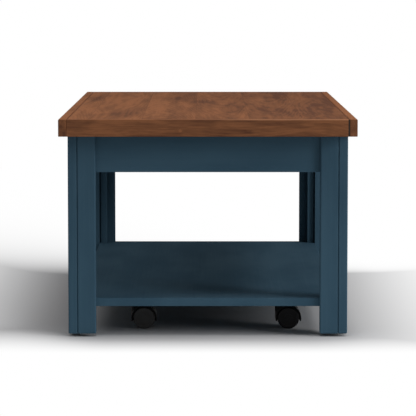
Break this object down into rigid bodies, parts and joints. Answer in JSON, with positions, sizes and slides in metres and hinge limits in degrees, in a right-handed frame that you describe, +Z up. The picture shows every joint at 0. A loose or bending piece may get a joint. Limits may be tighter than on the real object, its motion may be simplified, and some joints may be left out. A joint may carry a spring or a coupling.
{
  "type": "coffee table",
  "caption": "Rectangular coffee table with a stained wood top, painted board legs and aprons, a low open shelf and hidden twin-wheel casters that let it roll.",
  "frame": {"origin": "on the floor, under the middle of the table", "axes": "+Z up; X across the table's width; Y along its length, with the pictured short end at -Y"},
  "size_m": [0.61, 1.219, 0.454],
  "materials": {
    "stained_wood": "brown stain under satin lacquer",
    "stained_edge": "brown stain under satin lacquer",
    "painted_wood": "satin slate-blue paint",
    "bare_wood": "planed, unfinished",
    "zinc_steel": "bright zinc plate",
    "caster_steel": "black electrocoat",
    "hood_nylon": "fine moulded texture",
    "wheel_nylon": "satin moulded"
  },
  "bodies": {
    "table": {"top_panel": "stained_wood", "shelf_panel": "painted_wood", "center_rail": "bare_wood", "top_strip_left": "stained_edge", "apron_left": "painted_wood", "top_strip_right": "stained_edge", "apron_right": "painted_wood", "top_strip_front": "stained_edge", "apron_front": "painted_wood", "top_strip_back": "stained_edge", "apron_back": "painted_wood", "leg_front_left_side_board": "painted_wood", "leg_front_left_end_board": "painted_wood", "leg_front_left_core": "painted_wood", "foot_block_front_left": "painted_wood", "corner_brace_front_left": "bare_wood", "caster_front_left_plate": "caster_steel", "leg_front_right_side_board": "painted_wood", "leg_front_right_end_board": "painted_wood", "leg_front_right_core": "painted_wood", "foot_block_front_right": "painted_wood", "corner_brace_front_right": "bare_wood", "caster_front_right_plate": "caster_steel", "leg_back_left_side_board": "painted_wood", "leg_back_left_end_board": "painted_wood", "leg_back_left_core": "painted_wood", "foot_block_back_left": "painted_wood", "corner_brace_back_left": "bare_wood", "caster_back_left_plate": "caster_steel", "leg_back_right_side_board": "painted_wood", "leg_back_right_end_board": "painted_wood", "leg_back_right_core": "painted_wood", "foot_block_back_right": "painted_wood", "corner_brace_back_right": "bare_wood", "caster_back_right_plate": "caster_steel", "corner_bolts": "zinc_steel", "corner_nuts": "zinc_steel", "brace_screws": "zinc_steel", "foot_screws": "zinc_steel", "top_screws": "zinc_steel", "caster_screws": "zinc_steel", "caster_kingpins": "zinc_steel", "caster_rings": "zinc_steel"},
    "caster_front_left": {"caster_front_left_hood": "hood_nylon", "caster_front_left_axle": "zinc_steel"},
    "wheel_front_left_outer": {"caster_front_left_wheel_outer": "wheel_nylon"},
    "wheel_front_left_inner": {"caster_front_left_wheel_inner": "wheel_nylon"},
    "caster_front_right": {"caster_front_right_hood": "hood_nylon", "caster_front_right_axle": "zinc_steel"},
    "wheel_front_right_outer": {"caster_front_right_wheel_outer": "wheel_nylon"},
    "wheel_front_right_inner": {"caster_front_right_wheel_inner": "wheel_nylon"},
    "caster_back_left": {"caster_back_left_hood": "hood_nylon", "caster_back_left_axle": "zinc_steel"},
    "wheel_back_left_outer": {"caster_back_left_wheel_outer": "wheel_nylon"},
    "wheel_back_left_inner": {"caster_back_left_wheel_inner": "wheel_nylon"},
    "caster_back_right": {"caster_back_right_hood": "hood_nylon", "caster_back_right_axle": "zinc_steel"},
    "wheel_back_right_outer": {"caster_back_right_wheel_outer": "wheel_nylon"},
    "wheel_back_right_inner": {"caster_back_right_wheel_inner": "wheel_nylon"}
  },
  "joints": [
    {"name": "front_left_swivel", "type": "hinge", "parent": "table", "child": "caster_front_left", "pos_m": [-0.153, -0.4195, 0.05], "axis": [0, 0, 1], "continuous": true},
    {"name": "front_left_outer_roll", "type": "hinge", "parent": "caster_front_left", "child": "wheel_front_left_outer", "pos_m": [-0.135, -0.4336, 0.023], "axis": [0, 1, 0], "continuous": true},
    {"name": "front_left_inner_roll", "type": "hinge", "parent": "caster_front_left", "child": "wheel_front_left_inner", "pos_m": [-0.135, -0.4054, 0.023], "axis": [0, 1, 0], "continuous": true},
    {"name": "front_right_swivel", "type": "hinge", "parent": "table", "child": "caster_front_right", "pos_m": [0.153, -0.4195, 0.05], "axis": [0, 0, 1], "continuous": true},
    {"name": "front_right_outer_roll", "type": "hinge", "parent": "caster_front_right", "child": "wheel_front_right_outer", "pos_m": [0.171, -0.4336, 0.023], "axis": [0, 1, 0], "continuous": true},
    {"name": "front_right_inner_roll", "type": "hinge", "parent": "caster_front_right", "child": "wheel_front_right_inner", "pos_m": [0.171, -0.4054, 0.023], "axis": [0, 1, 0], "continuous": true},
    {"name": "back_left_swivel", "type": "hinge", "parent": "table", "child": "caster_back_left", "pos_m": [-0.153, 0.4195, 0.05], "axis": [0, 0, 1], "continuous": true},
    {"name": "back_left_outer_roll", "type": "hinge", "parent": "caster_back_left", "child": "wheel_back_left_outer", "pos_m": [-0.135, 0.4336, 0.023], "axis": [0, 1, 0], "continuous": true},
    {"name": "back_left_inner_roll", "type": "hinge", "parent": "caster_back_left", "child": "wheel_back_left_inner", "pos_m": [-0.135, 0.4054, 0.023], "axis": [0, 1, 0], "continuous": true},
    {"name": "back_right_swivel", "type": "hinge", "parent": "table", "child": "caster_back_right", "pos_m": [0.153, 0.4195, 0.05], "axis": [0, 0, 1], "continuous": true},
    {"name": "back_right_outer_roll", "type": "hinge", "parent": "caster_back_right", "child": "wheel_back_right_outer", "pos_m": [0.171, 0.4336, 0.023], "axis": [0, 1, 0], "continuous": true},
    {"name": "back_right_inner_roll", "type": "hinge", "parent": "caster_back_right", "child": "wheel_back_right_inner", "pos_m": [0.171, 0.4054, 0.023], "axis": [0, 1, 0], "continuous": true}
  ]
}
